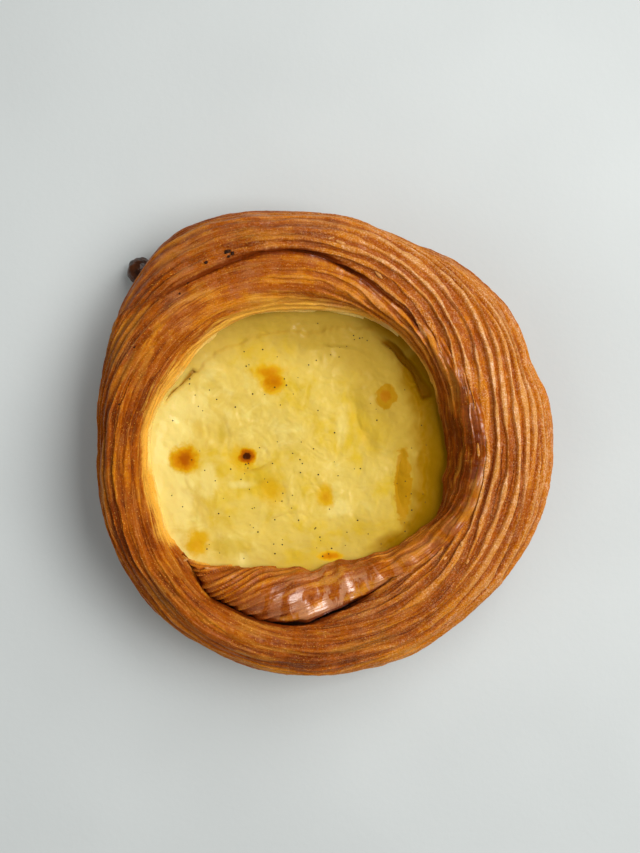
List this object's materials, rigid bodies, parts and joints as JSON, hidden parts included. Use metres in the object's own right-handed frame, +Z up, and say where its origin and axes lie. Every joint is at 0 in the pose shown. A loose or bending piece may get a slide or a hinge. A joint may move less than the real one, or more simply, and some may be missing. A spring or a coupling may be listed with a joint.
{
  "type": "danish pastry",
  "caption": "Round danish pastry: a strip of laminated dough coiled into an open well that is filled with vanilla custard, with a burnt bead of filling beside the crust.",
  "frame": {"origin": "middle of the outline, on the surface that the pastry lies on", "axes": "+Z up; seen from above with +X to the right, the coil turns anticlockwise outwards, its inner end is at the lower left of the well and its outer end at the upper left of the rim"},
  "size_m": [0.1102, 0.1128, 0.0317],
  "materials": {
    "baked_dough": "glazed, golden to dark brown flaky crust",
    "custard_cream": "soft satin baked custard with vanilla seeds",
    "burnt_sugar": "glossy burnt filling"
  },
  "bodies": {
    "root": {"pastry": "baked_dough", "custard": "custard_cream", "burnt_bead": "burnt_sugar"}
  },
  "joints": []
}
